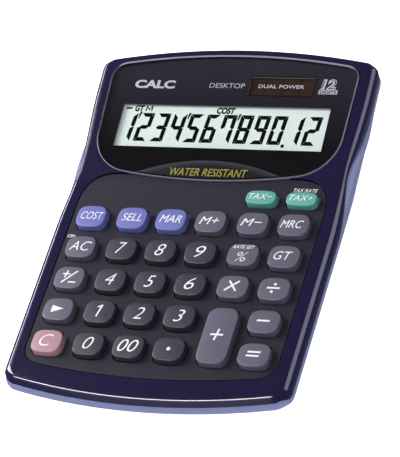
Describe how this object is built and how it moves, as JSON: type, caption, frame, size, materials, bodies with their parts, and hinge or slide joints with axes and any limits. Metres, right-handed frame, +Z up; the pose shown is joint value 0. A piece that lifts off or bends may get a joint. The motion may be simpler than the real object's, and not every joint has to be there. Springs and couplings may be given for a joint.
{
  "type": "desktop calculator",
  "caption": "Water-resistant desktop calculator with a wedge-shaped case, a sloping display with a solar cell, and a keypad of sprung keys.",
  "frame": {"origin": "middle of the case's box in plan, on the surface that the feet rest on", "axes": "+X to the user's right, +Y from the front edge towards the display, +Z up"},
  "size_m": [0.1446, 0.1944, 0.0357],
  "materials": {
    "case_upper_plastic": "glossy, very dark navy-violet",
    "case_lower_plastic": "satin periwinkle blue",
    "panel_plastic": "fine matte, dark grey",
    "lens_acrylic": "clear polished acrylic over a dark printed mask",
    "mask_ink": "black print with fine dots",
    "white_foam": "white adhesive foam",
    "lcd_glass": "polarised display glass",
    "silver_film": "satin reflective film",
    "frame_plastic": "natural white plastic",
    "ribbon_film": "amber polyester film with printed tracks",
    "solar_glass": "brown amorphous silicon behind glass",
    "silicone": "translucent pale silicone",
    "circuit_board": "green solder mask",
    "carbon_ink": "printed carbon",
    "epoxy": "black potting epoxy",
    "capacitor_sleeve": "shrink sleeve",
    "diode_glass": "small glass envelope",
    "steel": "plated steel",
    "nickel": "nickel plate",
    "wire_insulation": "vinyl insulation",
    "black_rubber": "matte black rubber",
    "key_dark": "satin dark grey with a fine light edge",
    "key_grey": "satin mid grey",
    "key_lavender": "satin lavender blue",
    "key_teal": "satin teal",
    "key_pink": "satin dusty pink"
  },
  "bodies": {
    "case": {"front_housing": "case_upper_plastic", "rear_housing": "case_lower_plastic", "case_seal": "black_rubber", "keypad_panel": "panel_plastic", "display_lens": "lens_acrylic", "lens_mask": "mask_ink", "lens_tape": "white_foam", "lcd_glass": "lcd_glass", "lcd_reflector": "silver_film", "lcd_frame": "frame_plastic", "lcd_ribbon_cable": "ribbon_film", "solar_cell": "solar_glass", "solar_cell_tape": "white_foam", "dome_mat": "silicone", "circuit_board": "circuit_board", "key_contact_pads": "carbon_ink", "controller_chip": "epoxy", "buffer_capacitor": "capacitor_sleeve", "blocking_diode": "diode_glass", "chip_resistors": "epoxy", "button_cell": "steel", "battery_contact_positive": "nickel", "battery_contact_negative": "nickel", "battery_cover": "case_lower_plastic", "battery_cover_seal": "black_rubber", "lead_wires": "wire_insulation", "case_screws": "steel", "board_screws": "steel", "rubber_feet": "black_rubber"},
    "key_0": {"key_0": "key_dark"},
    "key_double_zero": {"key_double_zero": "key_dark"},
    "key_decimal_point": {"key_decimal_point": "key_dark"},
    "key_1": {"key_1": "key_dark"},
    "key_2": {"key_2": "key_dark"},
    "key_3": {"key_3": "key_dark"},
    "key_4": {"key_4": "key_dark"},
    "key_5": {"key_5": "key_dark"},
    "key_6": {"key_6": "key_dark"},
    "key_7": {"key_7": "key_dark"},
    "key_8": {"key_8": "key_dark"},
    "key_9": {"key_9": "key_dark"},
    "key_plus": {"key_plus": "key_grey"},
    "key_minus": {"key_minus": "key_grey"},
    "key_multiply": {"key_multiply": "key_grey"},
    "key_divide": {"key_divide": "key_grey"},
    "key_equals": {"key_equals": "key_grey"},
    "key_percent": {"key_percent": "key_grey"},
    "key_clear": {"key_clear": "key_pink"},
    "key_all_clear": {"key_all_clear": "key_grey"},
    "key_sign_change": {"key_sign_change": "key_grey"},
    "key_shift_right": {"key_shift_right": "key_grey"},
    "key_grand_total": {"key_grand_total": "key_grey"},
    "key_memory_plus": {"key_memory_plus": "key_grey"},
    "key_memory_minus": {"key_memory_minus": "key_grey"},
    "key_memory_recall": {"key_memory_recall": "key_grey"},
    "key_cost": {"key_cost": "key_lavender"},
    "key_sell": {"key_sell": "key_lavender"},
    "key_margin": {"key_margin": "key_lavender"},
    "key_tax_minus": {"key_tax_minus": "key_teal"},
    "key_tax_plus": {"key_tax_plus": "key_teal"}
  },
  "joints": [
    {"name": "press_key_0", "type": "slide", "parent": "case", "child": "key_0", "axis": [0, 0.0767, -0.9971], "range_m": [0, 0.0013], "stiffness_N_per_m": 400, "springref_m": -0.0008, "deforming": ["dome_mat"]},
    {"name": "press_key_double_zero", "type": "slide", "parent": "case", "child": "key_double_zero", "axis": [0, 0.0767, -0.9971], "range_m": [0, 0.0013], "stiffness_N_per_m": 400, "springref_m": -0.0008, "deforming": ["dome_mat"]},
    {"name": "press_key_decimal_point", "type": "slide", "parent": "case", "child": "key_decimal_point", "axis": [0, 0.0767, -0.9971], "range_m": [0, 0.0013], "stiffness_N_per_m": 400, "springref_m": -0.0008, "deforming": ["dome_mat"]},
    {"name": "press_key_1", "type": "slide", "parent": "case", "child": "key_1", "axis": [0, 0.0767, -0.9971], "range_m": [0, 0.0013], "stiffness_N_per_m": 400, "springref_m": -0.0008, "deforming": ["dome_mat"]},
    {"name": "press_key_2", "type": "slide", "parent": "case", "child": "key_2", "axis": [0, 0.0767, -0.9971], "range_m": [0, 0.0013], "stiffness_N_per_m": 400, "springref_m": -0.0008, "deforming": ["dome_mat"]},
    {"name": "press_key_3", "type": "slide", "parent": "case", "child": "key_3", "axis": [0, 0.0767, -0.9971], "range_m": [0, 0.0013], "stiffness_N_per_m": 400, "springref_m": -0.0008, "deforming": ["dome_mat"]},
    {"name": "press_key_4", "type": "slide", "parent": "case", "child": "key_4", "axis": [0, 0.0767, -0.9971], "range_m": [0, 0.0013], "stiffness_N_per_m": 400, "springref_m": -0.0008, "deforming": ["dome_mat"]},
    {"name": "press_key_5", "type": "slide", "parent": "case", "child": "key_5", "axis": [0, 0.0767, -0.9971], "range_m": [0, 0.0013], "stiffness_N_per_m": 400, "springref_m": -0.0008, "deforming": ["dome_mat"]},
    {"name": "press_key_6", "type": "slide", "parent": "case", "child": "key_6", "axis": [0, 0.0767, -0.9971], "range_m": [0, 0.0013], "stiffness_N_per_m": 400, "springref_m": -0.0008, "deforming": ["dome_mat"]},
    {"name": "press_key_7", "type": "slide", "parent": "case", "child": "key_7", "axis": [0, 0.0767, -0.9971], "range_m": [0, 0.0013], "stiffness_N_per_m": 400, "springref_m": -0.0008, "deforming": ["dome_mat"]},
    {"name": "press_key_8", "type": "slide", "parent": "case", "child": "key_8", "axis": [0, 0.0767, -0.9971], "range_m": [0, 0.0013], "stiffness_N_per_m": 400, "springref_m": -0.0008, "deforming": ["dome_mat"]},
    {"name": "press_key_9", "type": "slide", "parent": "case", "child": "key_9", "axis": [0, 0.0767, -0.9971], "range_m": [0, 0.0013], "stiffness_N_per_m": 400, "springref_m": -0.0008, "deforming": ["dome_mat"]},
    {"name": "press_key_plus", "type": "slide", "parent": "case", "child": "key_plus", "axis": [0, 0.0767, -0.9971], "range_m": [0, 0.0013], "stiffness_N_per_m": 400, "springref_m": -0.0008, "deforming": ["dome_mat"]},
    {"name": "press_key_minus", "type": "slide", "parent": "case", "child": "key_minus", "axis": [0, 0.0767, -0.9971], "range_m": [0, 0.0013], "stiffness_N_per_m": 400, "springref_m": -0.0008, "deforming": ["dome_mat"]},
    {"name": "press_key_multiply", "type": "slide", "parent": "case", "child": "key_multiply", "axis": [0, 0.0767, -0.9971], "range_m": [0, 0.0013], "stiffness_N_per_m": 400, "springref_m": -0.0008, "deforming": ["dome_mat"]},
    {"name": "press_key_divide", "type": "slide", "parent": "case", "child": "key_divide", "axis": [0, 0.0767, -0.9971], "range_m": [0, 0.0013], "stiffness_N_per_m": 400, "springref_m": -0.0008, "deforming": ["dome_mat"]},
    {"name": "press_key_equals", "type": "slide", "parent": "case", "child": "key_equals", "axis": [0, 0.0767, -0.9971], "range_m": [0, 0.0013], "stiffness_N_per_m": 400, "springref_m": -0.0008, "deforming": ["dome_mat"]},
    {"name": "press_key_percent", "type": "slide", "parent": "case", "child": "key_percent", "axis": [0, 0.0767, -0.9971], "range_m": [0, 0.0013], "stiffness_N_per_m": 400, "springref_m": -0.0008, "deforming": ["dome_mat"]},
    {"name": "press_key_clear", "type": "slide", "parent": "case", "child": "key_clear", "axis": [0, 0.0767, -0.9971], "range_m": [0, 0.0013], "stiffness_N_per_m": 400, "springref_m": -0.0008, "deforming": ["dome_mat"]},
    {"name": "press_key_all_clear", "type": "slide", "parent": "case", "child": "key_all_clear", "axis": [0, 0.0767, -0.9971], "range_m": [0, 0.0013], "stiffness_N_per_m": 400, "springref_m": -0.0008, "deforming": ["dome_mat"]},
    {"name": "press_key_sign_change", "type": "slide", "parent": "case", "child": "key_sign_change", "axis": [0, 0.0767, -0.9971], "range_m": [0, 0.0013], "stiffness_N_per_m": 400, "springref_m": -0.0008, "deforming": ["dome_mat"]},
    {"name": "press_key_shift_right", "type": "slide", "parent": "case", "child": "key_shift_right", "axis": [0, 0.0767, -0.9971], "range_m": [0, 0.0013], "stiffness_N_per_m": 400, "springref_m": -0.0008, "deforming": ["dome_mat"]},
    {"name": "press_key_grand_total", "type": "slide", "parent": "case", "child": "key_grand_total", "axis": [0, 0.0767, -0.9971], "range_m": [0, 0.0013], "stiffness_N_per_m": 400, "springref_m": -0.0008, "deforming": ["dome_mat"]},
    {"name": "press_key_memory_plus", "type": "slide", "parent": "case", "child": "key_memory_plus", "axis": [0, 0.0767, -0.9971], "range_m": [0, 0.0013], "stiffness_N_per_m": 400, "springref_m": -0.0008, "deforming": ["dome_mat"]},
    {"name": "press_key_memory_minus", "type": "slide", "parent": "case", "child": "key_memory_minus", "axis": [0, 0.0767, -0.9971], "range_m": [0, 0.0013], "stiffness_N_per_m": 400, "springref_m": -0.0008, "deforming": ["dome_mat"]},
    {"name": "press_key_memory_recall", "type": "slide", "parent": "case", "child": "key_memory_recall", "axis": [0, 0.0767, -0.9971], "range_m": [0, 0.0013], "stiffness_N_per_m": 400, "springref_m": -0.0008, "deforming": ["dome_mat"]},
    {"name": "press_key_cost", "type": "slide", "parent": "case", "child": "key_cost", "axis": [0, 0.0767, -0.9971], "range_m": [0, 0.0013], "stiffness_N_per_m": 400, "springref_m": -0.0008, "deforming": ["dome_mat"]},
    {"name": "press_key_sell", "type": "slide", "parent": "case", "child": "key_sell", "axis": [0, 0.0767, -0.9971], "range_m": [0, 0.0013], "stiffness_N_per_m": 400, "springref_m": -0.0008, "deforming": ["dome_mat"]},
    {"name": "press_key_margin", "type": "slide", "parent": "case", "child": "key_margin", "axis": [0, 0.0767, -0.9971], "range_m": [0, 0.0013], "stiffness_N_per_m": 400, "springref_m": -0.0008, "deforming": ["dome_mat"]},
    {"name": "press_key_tax_minus", "type": "slide", "parent": "case", "child": "key_tax_minus", "axis": [0, 0.0767, -0.9971], "range_m": [0, 0.0013], "stiffness_N_per_m": 400, "springref_m": -0.0008, "deforming": ["dome_mat"]},
    {"name": "press_key_tax_plus", "type": "slide", "parent": "case", "child": "key_tax_plus", "axis": [0, 0.0767, -0.9971], "range_m": [0, 0.0013], "stiffness_N_per_m": 400, "springref_m": -0.0008, "deforming": ["dome_mat"]}
  ]
}
